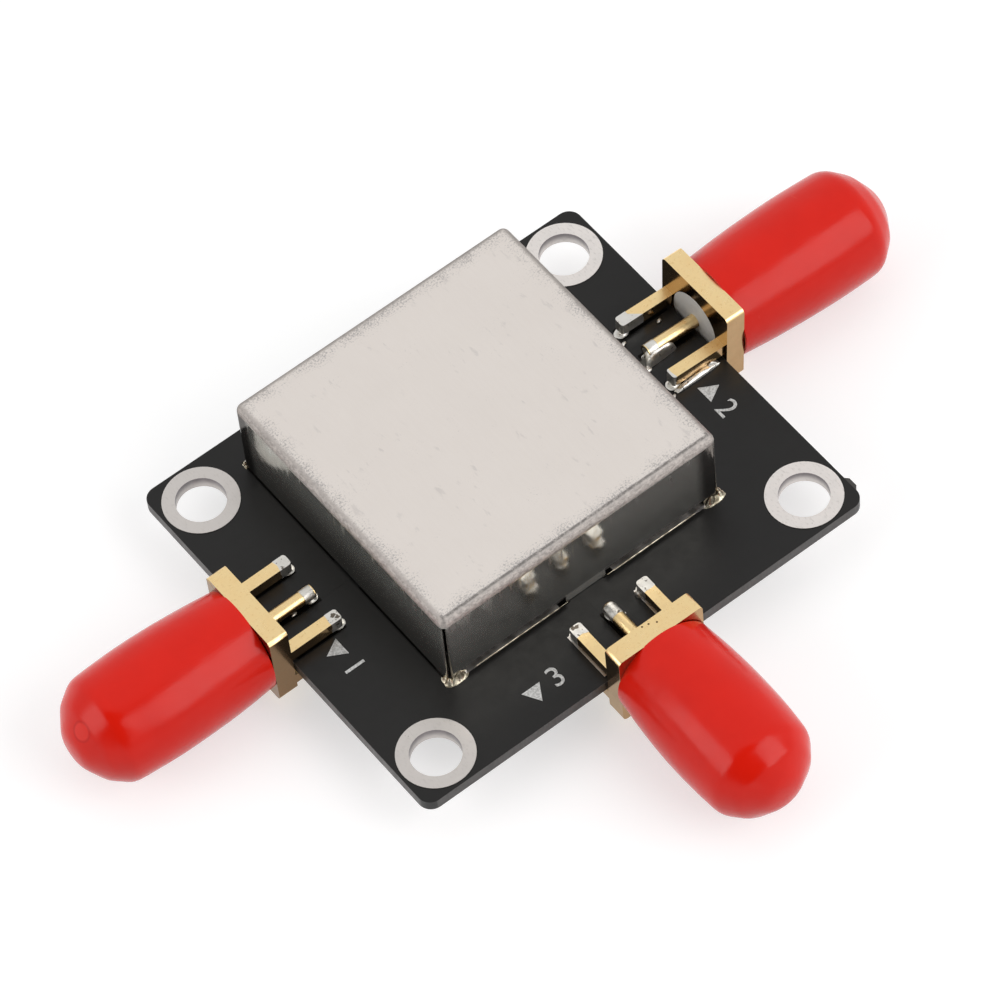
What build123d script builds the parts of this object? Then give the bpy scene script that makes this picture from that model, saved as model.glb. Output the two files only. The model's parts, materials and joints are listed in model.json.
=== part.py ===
from build123d import *
import os

os.makedirs("parts", exist_ok=True)

# Double balanced mixer module: a small board with a tinplate shield can over the mixer
# circuit, three edge connectors (LO, RF and IF) and a push-on dust cap on each of them.
# Millimetres. The origin is the centre of the four mounting holes on the board's underside.
# X runs along the board's long side from LO to RF, IF faces -Y, and Z points up.

# Circuit board
board_length = 33.5
board_width = 28.8
board_thickness = 0.8
board_corner_radius = 0.9
tab_stub_width = 1.1
tab_stub_depth = 0.22
tab_stub_from_corner = 1.5
copper_thickness = 0.05
seam_clearance = 0.01

# Mounting holes with plated walls and rings
hole_from_edge = 2.65
mounting_hole_radius = 1.6
hole_plating = 0.05
hole_ring_radius = 2.43

# Edge connector, measured from the inner face of its flange on the barrel axis
flange_size = 6.35
flange_thickness = 1.35
flange_edge_radius = 0.35
barrel_radius = 3.175
barrel_length = 9.5
barrel_relief_radius = 2.75
barrel_relief_length = 0.9
barrel_end_chamfer = 0.35
dielectric_radius = 2.05
mating_bore_radius = 2.33
mating_bore_depth = 1.9
leg_pitch = 5.08
leg_width = 0.8
leg_height = 0.85
leg_length = 3.95
leg_top_above_axis = 0.45
leg_gap = 1.7
leg_root_depth = 0.3
leg_tip_chamfer = 0.12

# Centre contact
pin_radius = 0.45
pin_length = 3.85
socket_radius = 0.635
socket_bore_radius = 0.47
socket_bore_depth = 2.6
socket_slot_width = 0.16
socket_slot_length = 2.2
socket_shoulder_depth = 0.5
socket_setback = 0.1

# How each connector sits on the board
connector_gap = 0.15
axis_above_board = 0.62
lo_offset = 1.75
rf_offset = 2.25
if_offset = -0.15
lo_droop_deg = 0.8
rf_droop_deg = 3.0
if_droop_deg = 0.0

# Dust cap, measured from its open end; each soft cap has its own length and sits a little askew
cap_gap = 0.12
cap_clearance = 0.05
cap_mouth_radius = 3.41
cap_belly_radius = 3.8
cap_flare_share = 0.3
cap_belly_share = 0.7
cap_nose_length = 2.3
cap_nose_radius = 2.68
cap_nose_mid = 1.2
cap_tip_radius = 1.05
cap_wall = 0.65
lo_cap_past_barrel = 3.0
rf_cap_past_barrel = 3.5
if_cap_past_barrel = 2.3
lo_cap_shoulder_radius = 3.61
rf_cap_shoulder_radius = 3.73
if_cap_shoulder_radius = 3.58
lo_cap_lean_deg = 1.2
rf_cap_lean_deg = 0.9
if_cap_lean_deg = 0.9
lo_cap_turn_deg = -0.9
rf_cap_turn_deg = -0.6
if_cap_turn_deg = -1.4

# Pads, traces and solder at each connector
pad_width = 0.95
pad_length = 3.6
pad_setback = 0.35
signal_pad_width = 1.05
trace_width = 0.9
trace_thickness = 0.03
tip_solder_length = 1.25
tip_solder_lead = 0.14
tip_solder_side = 0.05
tip_solder_height = 0.5
under_solder_height = 0.95
solder_taper_deg = 8.0

# Shield can, placed by its distances from the board's edges, with its ground ring
can_from_lo_edge = 6.225
can_from_rf_edge = 6.475
can_from_if_edge = 5.94
can_from_back_edge = 2.15
can_height = 6.4
can_sheet = 0.25
can_bend_radius = 0.6
can_seam_width = 0.2
can_corner_foot = 1.3
can_middle_foot = 3.0
can_gap_front = 0.6
can_gap_side = 0.2
ring_width = 1.3
ring_margin = 0.06
ring_front_margin = 0.1
ring_break = 2.6
can_solder_reach = 0.28
can_solder_height = 1.0
can_solder_taper_deg = 14.0
can_solder_front = 1.1
can_solder_side = 0.55

# Parts under the can
core_spacing = 0.55
core_bore_share = 0.53
core_height = 2.0
wire_size = 0.24
wire_clearance = 0.02
winding_turns = 9
winding_lead_length = 0.9
winding_gap_turns = 2
winding_lead_step = 2
diode_length = 2.9
diode_width = 1.4
diode_height = 0.95
diode_standoff = 0.1
diode_lead_width = 0.4
diode_lead_reach = 0.55
diode_lead_thickness = 0.15
diode_lead_pitch = 1.9
chip_length = 1.6
chip_width = 0.8
chip_height = 0.75
chip_terminal = 0.3
chip_inset = 0.9
inner_pad_margin = 0.2

# Derived places
hole_spacing_x = board_length - 2 * hole_from_edge
hole_spacing_y = board_width - 2 * hole_from_edge
board_top = board_thickness
copper_top = board_top + copper_thickness
axis_height = board_top + axis_above_board
leg_bottom = leg_top_above_axis - leg_height
lower_leg_top = leg_bottom - leg_gap
reference_plane = flange_thickness + barrel_length - mating_bore_depth
can_top = copper_top + can_height
wall_low_x = can_from_lo_edge - board_length / 2
wall_high_x = board_length / 2 - can_from_rf_edge
wall_low_y = can_from_if_edge - board_width / 2
wall_high_y = board_width / 2 - can_from_back_edge
can_length = wall_high_x - wall_low_x
can_centre_x = (wall_low_x + wall_high_x) / 2
can_centre_y = (wall_low_y + wall_high_y) / 2
balun_room = can_length / 2 - can_sheet - chip_inset - chip_length - diode_length / 2
balun_offset_x = (diode_length + balun_room) / 2
core_outer_radius = balun_room / 2 - core_spacing - wire_size - wire_clearance
core_inner_radius = core_bore_share * core_outer_radius

PORTS = {
    "lo": {
        "x": -board_length / 2, "y": lo_offset, "heading": 180, "droop": lo_droop_deg,
        "wall": can_from_lo_edge,
        "cap_length": barrel_length + lo_cap_past_barrel,
        "cap_shoulder": lo_cap_shoulder_radius,
        "cap_lean": lo_cap_lean_deg, "cap_turn": lo_cap_turn_deg,
    },
    "rf": {
        "x": board_length / 2, "y": rf_offset, "heading": 0, "droop": rf_droop_deg,
        "wall": can_from_rf_edge,
        "cap_length": barrel_length + rf_cap_past_barrel,
        "cap_shoulder": rf_cap_shoulder_radius,
        "cap_lean": rf_cap_lean_deg, "cap_turn": rf_cap_turn_deg,
    },
    "if": {
        "x": if_offset, "y": -board_width / 2, "heading": -90, "droop": if_droop_deg,
        "wall": can_from_if_edge,
        "cap_length": barrel_length + if_cap_past_barrel,
        "cap_shoulder": if_cap_shoulder_radius,
        "cap_lean": if_cap_lean_deg, "cap_turn": if_cap_turn_deg,
    },
}


def block(x_low, x_high, y_low, y_high, z_low, z_high):
    """A box between two opposite corners."""
    middle = Pos((x_low + x_high) / 2, (y_low + y_high) / 2, (z_low + z_high) / 2)
    return middle * Box(x_high - x_low, y_high - y_low, z_high - z_low)


def rod(radius, x_low, x_high):
    """A cylinder along X between two stations."""
    return Pos((x_low + x_high) / 2, 0, 0) * Rot(0, 90, 0) * Cylinder(radius, x_high - x_low)


def turned(*stations):
    """A solid of revolution about X from (station, radius) points."""
    outline = Polyline(*[(x, 0, r) for x, r in stations], close=True)
    return revolve(make_face(outline), Axis.X)


def write(shape, node):
    """Write one node; a list becomes a group of separate solids."""
    if isinstance(shape, list):
        shape = Compound(children=shape)
    export_step(shape, "parts/" + node + ".step")


def at_edge(port):
    """Frame on the board's edge at a port, outward along +X, level with the underside."""
    return Pos(port["x"], port["y"], 0) * Rot(0, 0, port["heading"])


def at_connector(port):
    """Frame at the middle of a connector's inner flange face, with its droop."""
    return at_edge(port) * Pos(connector_gap, 0, axis_height) * Rot(0, port["droop"], 0)


def hole_places():
    """Centres of the four mounting holes."""
    half_x = hole_spacing_x / 2
    half_y = hole_spacing_y / 2
    return [(x, y) for x in (-half_x, half_x) for y in (-half_y, half_y)]


def circuit_board():
    """Board blank with drilled holes and the broken-off panel tab on its +X edge."""
    blank = extrude(RectangleRounded(board_length, board_width, board_corner_radius), board_thickness)
    stub_y = -board_width / 2 + tab_stub_from_corner
    stub = block(
        board_length / 2 - tab_stub_width, board_length / 2 + tab_stub_depth,
        stub_y - tab_stub_width / 2, stub_y + tab_stub_width / 2,
        0, board_thickness,
    )
    blank += chamfer(stub.edges().filter_by(Axis.Z), tab_stub_depth)
    drill_radius = mounting_hole_radius + hole_plating + seam_clearance
    for x, y in hole_places():
        blank -= Pos(x, y, board_thickness / 2) * Cylinder(drill_radius, 2 * board_thickness)
    return blank


def hole_plating_sleeve():
    """One plated hole: a thin sleeve with a ring on each face of the board."""
    total = board_thickness + 2 * copper_thickness
    sleeve = Pos(0, 0, board_thickness / 2) * Cylinder(mounting_hole_radius + hole_plating, total)
    for z in (-copper_thickness / 2, board_top + copper_thickness / 2):
        sleeve += Pos(0, 0, z) * Cylinder(hole_ring_radius, copper_thickness)
    return sleeve - Pos(0, 0, board_thickness / 2) * Cylinder(mounting_hole_radius, 2 * total)


def connector_legs():
    """Two upper and two lower legs that straddle the board."""
    legs = []
    for y in (-leg_pitch / 2, leg_pitch / 2):
        for top in (leg_top_above_axis, lower_leg_top):
            leg = block(
                -leg_length, leg_root_depth,
                y - leg_width / 2, y + leg_width / 2,
                top - leg_height, top,
            )
            tip_edges = leg.faces().sort_by(Axis.X)[0].edges()
            legs.append(chamfer(tip_edges, leg_tip_chamfer))
    return legs


def connector_body():
    """Flange, legs and threaded barrel, turned and milled as one piece."""
    flange = block(
        0, flange_thickness,
        -flange_size / 2, flange_size / 2,
        -flange_size / 2, flange_size / 2,
    )
    body = fillet(flange.edges().filter_by(Axis.X), flange_edge_radius)
    relief_end = flange_thickness + barrel_relief_length
    barrel_end = flange_thickness + barrel_length
    body += turned(
        (flange_thickness / 2, 0),
        (flange_thickness / 2, barrel_relief_radius),
        (relief_end, barrel_relief_radius),
        (relief_end, barrel_radius),
        (barrel_end - barrel_end_chamfer, barrel_radius),
        (barrel_end, barrel_radius - barrel_end_chamfer),
        (barrel_end, 0),
    )
    for leg in connector_legs():
        body += leg
    body -= rod(dielectric_radius, -flange_thickness, barrel_end)
    body -= rod(mating_bore_radius, reference_plane, barrel_end + flange_thickness)
    return body


def dielectric():
    """White insulator sleeve that holds the centre contact in the body."""
    sleeve = rod(dielectric_radius - seam_clearance, 0, reference_plane)
    sleeve -= rod(pin_radius + seam_clearance, -flange_thickness, socket_shoulder_depth)
    sleeve -= rod(socket_radius + seam_clearance, socket_shoulder_depth, reference_plane + flange_thickness)
    return sleeve


def centre_contact():
    """Rear pin over the board and a slotted socket at the mating face."""
    socket_end = reference_plane - socket_setback
    contact = turned(
        (-pin_length, 0),
        (-pin_length, pin_radius),
        (socket_shoulder_depth + seam_clearance, pin_radius),
        (socket_shoulder_depth + seam_clearance, socket_radius),
        (socket_end, socket_radius),
        (socket_end, 0),
    )
    contact -= rod(socket_bore_radius, socket_end - socket_bore_depth, socket_end + flange_thickness)
    slot_start = socket_end - socket_slot_length
    for angle in (0, 90):
        slot = block(
            slot_start, socket_end + flange_thickness,
            -2 * socket_radius, 2 * socket_radius,
            -socket_slot_width / 2, socket_slot_width / 2,
        )
        contact -= Rot(angle, 0, 0) * slot
    return contact


def cap_outside(length, shoulder_radius):
    """Outer form of a cap on its own axis: bellied sides, blunt nose and small flat tip."""
    shoulder = length - cap_nose_length
    return turned(
        (0, 0),
        (0, cap_mouth_radius),
        (cap_flare_share * barrel_length, cap_belly_radius),
        (cap_belly_share * barrel_length, cap_belly_radius),
        (shoulder, shoulder_radius),
        (shoulder + cap_nose_mid, cap_nose_radius),
        (length, cap_tip_radius),
        (length, 0),
    )


def dust_cap(port):
    """Soft push-on cap with a straight bore, its outside leaning a little on the barrel."""
    mouth = flange_thickness + cap_gap
    bore_radius = barrel_radius + cap_clearance
    bore_end = flange_thickness + barrel_length + cap_clearance
    tip_inside = mouth + port["cap_length"] - cap_wall
    lean = Pos(mouth, 0, 0) * Rot(0, -port["cap_lean"], port["cap_turn"])
    cap = lean * cap_outside(port["cap_length"], port["cap_shoulder"])
    cap -= block(0, mouth, -flange_size, flange_size, -flange_size, flange_size)
    cap -= turned(
        (0, 0),
        (0, bore_radius),
        (bore_end, bore_radius),
        (tip_inside, cap_tip_radius),
        (tip_inside, 0),
    )
    return cap


def port_pads():
    """Ground pads on both faces and the signal pad, in the frame on the board's edge."""
    pads = []
    far_end = -pad_setback - pad_length
    for y in (-leg_pitch / 2, leg_pitch / 2):
        for z in (-copper_thickness, board_top):
            pads.append(block(
                far_end, -pad_setback,
                y - pad_width / 2, y + pad_width / 2,
                z, z + copper_thickness,
            ))
    pads.append(block(
        far_end, -pad_setback,
        -signal_pad_width / 2, signal_pad_width / 2,
        board_top, copper_top,
    ))
    return pads


def solder_wedge(x_low, x_high, half_width, height):
    """A tapered heap of solder that stands on Z = 0."""
    base = Pos((x_low + x_high) / 2, 0, 0) * Rectangle(x_high - x_low, 2 * half_width)
    return extrude(base, height, taper=solder_taper_deg)


def port_solder(port, metal):
    """Solder that joins the leg tips, the pin tip and the lower legs to their pads."""
    heaps = []
    leg_tip = connector_gap - leg_length
    pin_tip = connector_gap - pin_length
    tips = [
        (leg_tip, -leg_pitch / 2, leg_width / 2),
        (leg_tip, leg_pitch / 2, leg_width / 2),
        (pin_tip, 0, pin_radius),
    ]
    for tip, y, half_width in tips:
        heap = solder_wedge(
            tip - tip_solder_lead, tip + tip_solder_length,
            half_width + tip_solder_side, tip_solder_height,
        )
        heaps.append(Pos(0, y, copper_top) * heap)
    for y in (-leg_pitch / 2, leg_pitch / 2):
        heap = solder_wedge(
            leg_tip - tip_solder_lead, -pad_setback,
            leg_width / 2 + tip_solder_side, under_solder_height,
        )
        heaps.append(Pos(0, y, -copper_thickness) * Rot(180, 0, 0) * heap)
    placed = [at_edge(port) * heap for heap in heaps]
    for piece in metal:
        placed = [heap - piece for heap in placed]
    return placed


def can_box(inset, z_low, z_high):
    """The can's outer box, drawn in by the given inset."""
    return block(
        wall_low_x + inset, wall_high_x - inset,
        wall_low_y + inset, wall_high_y - inset,
        z_low, z_high,
    )


def can_corners():
    """Outer corners of the can, each with its directions along X and Y towards the middle."""
    return [
        (wall_low_x, wall_low_y, 1, 1), (wall_high_x, wall_low_y, -1, 1),
        (wall_low_x, wall_high_y, 1, -1), (wall_high_x, wall_high_y, -1, -1),
    ]


def wall_gaps():
    """Gaps under the can's walls, between its feet."""
    low = copper_top - can_sheet
    foot_low = if_offset - can_middle_foot / 2
    foot_high = if_offset + can_middle_foot / 2
    x_low = wall_low_x + can_corner_foot
    x_high = wall_high_x - can_corner_foot
    through_y = (wall_low_y - can_sheet, wall_high_y + can_sheet)
    gaps = [
        block(x_low, foot_low, *through_y, low, copper_top + can_gap_front),
        block(foot_high, x_high, *through_y, low, copper_top + can_gap_front),
        block(
            wall_low_x - can_sheet, wall_high_x + can_sheet,
            wall_low_y + can_corner_foot, wall_high_y - can_corner_foot,
            low, copper_top + can_gap_side,
        ),
    ]
    return gaps


def shield_can():
    """Folded can: open corner seams, feet at the corners and one in the middle of the long gaps."""
    shell = can_box(0, copper_top, can_top)
    shell = fillet(shell.faces().sort_by(Axis.Z)[-1].edges(), can_bend_radius)
    shell -= can_box(can_sheet, board_top, can_top - can_sheet)
    seam_top = can_top - can_bend_radius
    seam_middle = (board_top + seam_top) / 2
    for x, y, along_x, along_y in can_corners():
        slit = Box(4 * can_sheet, can_seam_width, seam_top - board_top)
        shell -= Pos(x, y, seam_middle) * Rot(0, 0, 45 * along_x * along_y) * slit
    for gap in wall_gaps():
        shell -= gap
    return shell


def can_ground_ring():
    """Tinned ring under the can's walls, broken where each port's trace passes."""
    x_low = wall_low_x - ring_margin
    x_high = wall_high_x + ring_margin
    y_low = wall_low_y - ring_front_margin
    y_high = wall_high_y + ring_margin
    ring = block(x_low, x_high, y_low, y_high, board_top, copper_top)
    ring -= block(
        x_low + ring_width, x_high - ring_width,
        y_low + ring_width, y_high - ring_width,
        board_top - copper_thickness, copper_top + copper_thickness,
    )
    for port in PORTS.values():
        reach = port["wall"] + 2 * ring_width
        ring -= at_edge(port) * block(
            -reach, 0, -ring_break / 2, ring_break / 2,
            board_top - copper_thickness, copper_top + copper_thickness,
        )
    return ring


def corner_solder(along_x, along_y):
    """Tapered solder round one corner of the can, running a little way along both walls."""
    length = 2 * can_solder_reach + can_solder_front
    front = Pos(along_x * can_solder_front / 2, 0) * Rectangle(length, 2 * can_solder_reach)
    width = 2 * can_solder_reach + can_solder_side
    side = Pos(0, along_y * can_solder_side / 2) * Rectangle(2 * can_solder_reach, width)
    return extrude(front + side, can_solder_height, taper=can_solder_taper_deg)


def can_solder():
    """Solder at the can's four corners."""
    inside = can_box(0, board_top - can_sheet, can_top)
    ring = can_ground_ring()
    heaps = []
    for x, y, along_x, along_y in can_corners():
        heap = Pos(x, y, board_top) * corner_solder(along_x, along_y)
        heaps.append(heap - inside - ring)
    return heaps


def chip_station(port):
    """Middle of a port's series chip, as a distance inward from the board's edge."""
    return port["wall"] + can_sheet + chip_inset + chip_length / 2


def signal_trace(port):
    """Trace from the connector's signal pad to its series chip inside the can."""
    start = pad_setback + pad_length
    end = chip_station(port) - chip_length / 2
    trace = block(-end, -start, -trace_width / 2, trace_width / 2, board_top, board_top + trace_thickness)
    return at_edge(port) * trace


def chip_pads(port):
    """The two pads under a series chip."""
    middle = chip_station(port)
    pads = []
    for x in (-middle - chip_length / 2, -middle + chip_length / 2):
        outward = x > -middle
        x_low = x - chip_terminal if outward else x - inner_pad_margin
        x_high = x if outward else x + chip_terminal
        pads.append(at_edge(port) * block(
            x_low, x_high,
            -chip_width / 2 - inner_pad_margin, chip_width / 2 + inner_pad_margin,
            board_top, copper_top,
        ))
    return pads


def chip_body(port):
    """Ceramic body of a series chip between its terminals."""
    middle = chip_station(port)
    half = chip_length / 2 - chip_terminal
    return at_edge(port) * block(
        -middle - half, -middle + half,
        -chip_width / 2, chip_width / 2,
        copper_top, copper_top + chip_height,
    )


def chip_terminals(port):
    """Tinned end caps of a series chip."""
    middle = chip_station(port)
    inner = chip_length / 2 - chip_terminal
    outer = chip_length / 2
    ends = []
    for x_low, x_high in ((-middle - outer, -middle - inner), (-middle + inner, -middle + outer)):
        ends.append(at_edge(port) * block(
            x_low, x_high,
            -chip_width / 2, chip_width / 2,
            copper_top, copper_top + chip_height,
        ))
    return ends


def at_balun(side):
    """Frame at a balun, side -1 for LO and +1 for RF, with X outward to the open part of its winding."""
    return Pos(can_centre_x + side * balun_offset_x, can_centre_y, 0) * Rot(0, 0, 0 if side > 0 else 180)


def core_bottom():
    """Height of a core's underside, resting on its winding."""
    return copper_top + wire_size + wire_clearance


def balun_core(side):
    """Ferrite toroid of a balun, lying flat."""
    ring = Cylinder(core_outer_radius, core_height) - Cylinder(core_inner_radius, 2 * core_height)
    return at_balun(side) * Pos(0, 0, core_bottom() + core_height / 2) * ring


def turn_angles():
    """Angle of each turn round a core, with the open part of the winding about 0."""
    step = 360 / (winding_turns + winding_gap_turns)
    first = step * (winding_gap_turns + 1) / 2
    return [first + number * step for number in range(winding_turns)]


def lead_turns():
    """Numbers of the four turns that end in a lead: two for the port side, two for the diodes."""
    return (0, winding_lead_step, winding_turns - 1 - winding_lead_step, winding_turns - 1)


def balun_winding(side):
    """Enamelled turns round a core, four of them with a lead to a pad."""
    inner = core_inner_radius - wire_clearance
    outer = core_outer_radius + wire_clearance
    low = core_bottom() - wire_clearance
    high = core_bottom() + core_height + wire_clearance
    half = wire_size / 2
    turn = block(inner - wire_size, outer + wire_size, -half, half, low - wire_size, high + wire_size)
    turn -= block(inner, outer, -wire_size, wire_size, low, high)
    lead = block(outer, outer + winding_lead_length, -half, half, low - wire_size, low)
    turns = []
    for number, angle in enumerate(turn_angles()):
        piece = turn + lead if number in lead_turns() else turn
        turns.append(at_balun(side) * Rot(0, 0, angle) * piece)
    return turns


def winding_pads(side):
    """Pads under the leads of a balun's winding."""
    reach = core_outer_radius + wire_clearance + winding_lead_length
    pads = []
    for number in lead_turns():
        pad = block(
            reach - winding_lead_length / 2, reach + inner_pad_margin,
            -wire_size, wire_size,
            board_top, copper_top,
        )
        pads.append(at_balun(side) * Rot(0, 0, turn_angles()[number]) * pad)
    return pads


def diode_ring_body():
    """Moulded package that holds the four mixer diodes."""
    body = Box(diode_length, diode_width, diode_height)
    body = chamfer(body.faces().sort_by(Axis.Z)[-1].edges(), diode_standoff)
    return Pos(can_centre_x, can_centre_y, copper_top + diode_standoff + diode_height / 2) * body


def diode_lead(side):
    """One gull-wing lead, drawn in the YZ plane and leaving the package on one side."""
    root_y = diode_width / 2
    knee_y = root_y + diode_lead_reach / 2
    toe_y = root_y + diode_lead_reach + diode_lead_thickness
    shoulder = copper_top + diode_standoff + diode_height / 2
    path = Polyline(
        (root_y, shoulder),
        (knee_y, shoulder),
        (knee_y, copper_top),
        (toe_y, copper_top),
        (toe_y, copper_top + diode_lead_thickness),
        (knee_y + diode_lead_thickness, copper_top + diode_lead_thickness),
        (knee_y + diode_lead_thickness, shoulder + diode_lead_thickness),
        (root_y, shoulder + diode_lead_thickness),
        close=True,
    )
    face = make_face(Plane.YZ * path)
    lead = Pos(-diode_lead_width / 2, 0, 0) * extrude(face, diode_lead_width, dir=(1, 0, 0))
    return Rot(0, 0, 0 if side > 0 else 180) * lead


def diode_places():
    """Offsets and sides of the four leads of the diode package."""
    half = diode_lead_pitch / 2
    return [(can_centre_x + x, side) for x in (-half, half) for side in (-1, 1)]


def diode_leads():
    """The four gull-wing leads."""
    return [Pos(x, can_centre_y, 0) * diode_lead(side) for x, side in diode_places()]


def diode_pads():
    """Pads under the leads of the diode package."""
    reach = diode_width / 2 + diode_lead_reach + diode_lead_thickness
    pads = []
    for x, side in diode_places():
        pad = block(
            -diode_lead_width, diode_lead_width,
            diode_width / 2 + diode_lead_thickness, reach + inner_pad_margin,
            board_top, copper_top,
        )
        pads.append(Pos(x, can_centre_y, 0) * Rot(0, 0, 0 if side > 0 else 180) * pad)
    return pads


def write_port(name, port):
    """Write every node that belongs to one connector."""
    body = at_connector(port) * connector_body()
    contact = at_connector(port) * centre_contact()
    write(body, name + "_connector_body")
    write(at_connector(port) * dielectric(), name + "_dielectric")
    write(contact, name + "_centre_contact")
    write(at_connector(port) * dust_cap(port), name + "_dust_cap")
    write([at_edge(port) * pad for pad in port_pads()], name + "_pads")
    write(signal_trace(port), name + "_signal_trace")
    write(port_solder(port, (body, contact)), name + "_solder_joints")


write(circuit_board(), "circuit_board")
write([Pos(x, y, 0) * hole_plating_sleeve() for x, y in hole_places()], "mounting_hole_plating")
write(can_ground_ring().solids(), "can_ground_ring")
write(shield_can(), "shield_can")
write(can_solder(), "shield_can_solder")
for port_name, port_values in PORTS.items():
    write_port(port_name, port_values)
for balun_name, balun_side in (("lo", -1), ("rf", 1)):
    write(balun_core(balun_side), balun_name + "_balun_core")
    write(balun_winding(balun_side), balun_name + "_balun_winding")
write(diode_ring_body(), "diode_ring_package")
write(diode_leads(), "diode_ring_leads")
write([chip_body(port) for port in PORTS.values()], "series_chip_bodies")
write([end for port in PORTS.values() for end in chip_terminals(port)], "series_chip_terminals")
write(
    [pad for port in PORTS.values() for pad in chip_pads(port)]
    + winding_pads(-1) + winding_pads(1) + diode_pads(),
    "component_pads",
)
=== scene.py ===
import json
import math

import bmesh
import bpy
from mathutils import Matrix, Vector, noise


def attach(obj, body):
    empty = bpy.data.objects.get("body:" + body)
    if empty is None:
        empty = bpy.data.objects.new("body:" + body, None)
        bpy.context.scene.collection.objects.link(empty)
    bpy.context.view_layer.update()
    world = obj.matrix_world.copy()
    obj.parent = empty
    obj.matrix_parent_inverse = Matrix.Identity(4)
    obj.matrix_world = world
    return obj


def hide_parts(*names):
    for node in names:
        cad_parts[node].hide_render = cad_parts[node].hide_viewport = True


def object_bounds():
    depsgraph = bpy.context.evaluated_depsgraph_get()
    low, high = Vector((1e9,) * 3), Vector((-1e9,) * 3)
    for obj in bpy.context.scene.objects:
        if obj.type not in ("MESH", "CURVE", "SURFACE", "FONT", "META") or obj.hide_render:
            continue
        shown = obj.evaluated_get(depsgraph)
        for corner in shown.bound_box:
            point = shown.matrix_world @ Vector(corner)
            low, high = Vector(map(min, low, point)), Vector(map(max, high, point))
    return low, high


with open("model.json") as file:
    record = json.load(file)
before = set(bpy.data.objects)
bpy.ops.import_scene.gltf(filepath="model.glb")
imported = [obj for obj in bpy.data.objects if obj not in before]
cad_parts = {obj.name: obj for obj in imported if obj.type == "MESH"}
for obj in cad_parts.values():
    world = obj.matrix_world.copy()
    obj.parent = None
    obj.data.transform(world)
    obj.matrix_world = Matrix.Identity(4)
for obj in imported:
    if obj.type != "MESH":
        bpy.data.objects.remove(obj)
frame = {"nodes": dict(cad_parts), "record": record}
cad_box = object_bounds()
nodes = frame["nodes"]

# Looks for a double balanced mixer module. Sizes are in millimetres where a name says so,
# and are turned into metres only where a mesh, a light or the camera is placed.
# The X axis runs along the board from the LO port to the RF port, and the IF port looks to -Y.
MM = 0.001

# Camera, fitted to the board, the holes, the can and the flanges in the photograph
CAMERA_AZIMUTH_DEG = -32.256
CAMERA_ELEVATION_DEG = 56.471
CAMERA_ROLL_DEG = -6.793
CAMERA_DISTANCE_MM = 375.05
CAMERA_RIGHT_MM = -0.065
CAMERA_UP_MM = -0.164
FOCAL_PX = 6178.3
IMAGE_PX = 1001
SENSOR_MM = 36.0
BOARD_TOP_MM = 0.8

# Places on the part, as in its source
BOARD_HALF_MM = (16.75, 14.4)
COPPER_TOP_MM = 0.85
COPPER_UNDER_MM = -0.05
AXIS_HEIGHT_MM = 1.42
CONNECTOR_GAP_MM = 0.15
BARREL_START_MM = 2.25
BARREL_END_MM = 10.85
BARREL_RADIUS_MM = 3.175
BARREL_CHAMFER_MM = 0.35
BARREL_INSIDE_MM = 2.7
LEG_PITCH_MM = 5.08
LEG_Y_MM = LEG_PITCH_MM / 2
LEG_WIDTH_MM = 0.8
LEG_TOP_MM = 0.45
LEG_HEIGHT_MM = 0.85
LEG_TIP_MM = -3.95
PIN_TIP_MM = -3.85
PIN_RADIUS_MM = 0.45
CAN_TOP_MM = 7.25
CAN_LOW_MM = (-10.525, -8.46)
CAN_HIGH_MM = (10.275, 12.25)
CAN_BEND_MM = 0.6
CAN_WALL_TOP_MM = CAN_TOP_MM - CAN_BEND_MM
# Place of each port on the board's edge, its heading and how far its axis droops
PORTS = {
    "lo": {"edge": (-16.75, 1.75), "heading": 180, "droop": 0.8},
    "rf": {"edge": (16.75, 2.25), "heading": 0, "droop": 3.0},
    "if": {"edge": (-0.15, -14.4), "heading": -90, "droop": 0.0},
}

# Small roundings that the source leaves to this script
LEG_TIP_ROUND_MM = 0.2
BODY_EDGE_MM = 0.05
CAN_EDGE_MM = 0.04
CAN_SEAM_EDGE_MM = 0.14
CAN_CORNER_MM = 0.5

# Meshes: distance at which points are one, angles up to which faces are one plane and from
# which an edge is sharp, steps of a spin and angle of an arc's step
MERGE_MM = 0.0005
FLAT_DEG = 1.0
SHARP_DEG = 32.0
SPIN_STEPS = 96
ARC_STEP_DEG = 9.0

# Dust caps, measured from the open end
CAP_START_MM = 1.47
CAP_BORE_MM = 3.225
CAP_BORE_END_MM = 10.9
CAP_MOUTH_MM = 3.41
CAP_BELLY_MM = 3.79
CAP_BELLY_SHARE = 0.55
CAP_SIDE_STEPS = 12
CAP_SHOULDER_ROUND_MM = 1.5
CAP_NOSE_MM = 2.3
CAP_CHEEK_SHARE = 0.52
CAP_CHEEK_MM = 2.72
CAP_CHEEK_ROUND_MM = 1.6
CAP_TIP_MM = 1.05
CAP_TIP_EDGE_MM = 1.25
CAP_TIP_ROUND_MM = 2.0
CAP_TIP_DOME_MM = 0.14
CAP_RIM_REACH_MM = 0.09
CAP_RIM_ROUND_MM = 0.06
CAP_LIP_MM = (0.05, 0.06)
CAP_WALL_MM = 0.65
CAP_DENT_MM = 0.035
CAP_DENT_SCALE = 0.38

# Length and shoulder radius of each cap, and how its outside leans down and turns sideways
CAPS = {
    "lo": {"length": 12.5, "shoulder": 3.61, "lean": 1.2, "turn": -0.9},
    "rf": {"length": 13.0, "shoulder": 3.73, "lean": 0.9, "turn": -0.6},
    "if": {"length": 11.8, "shoulder": 3.58, "lean": 0.9, "turn": -1.4},
}

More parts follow.
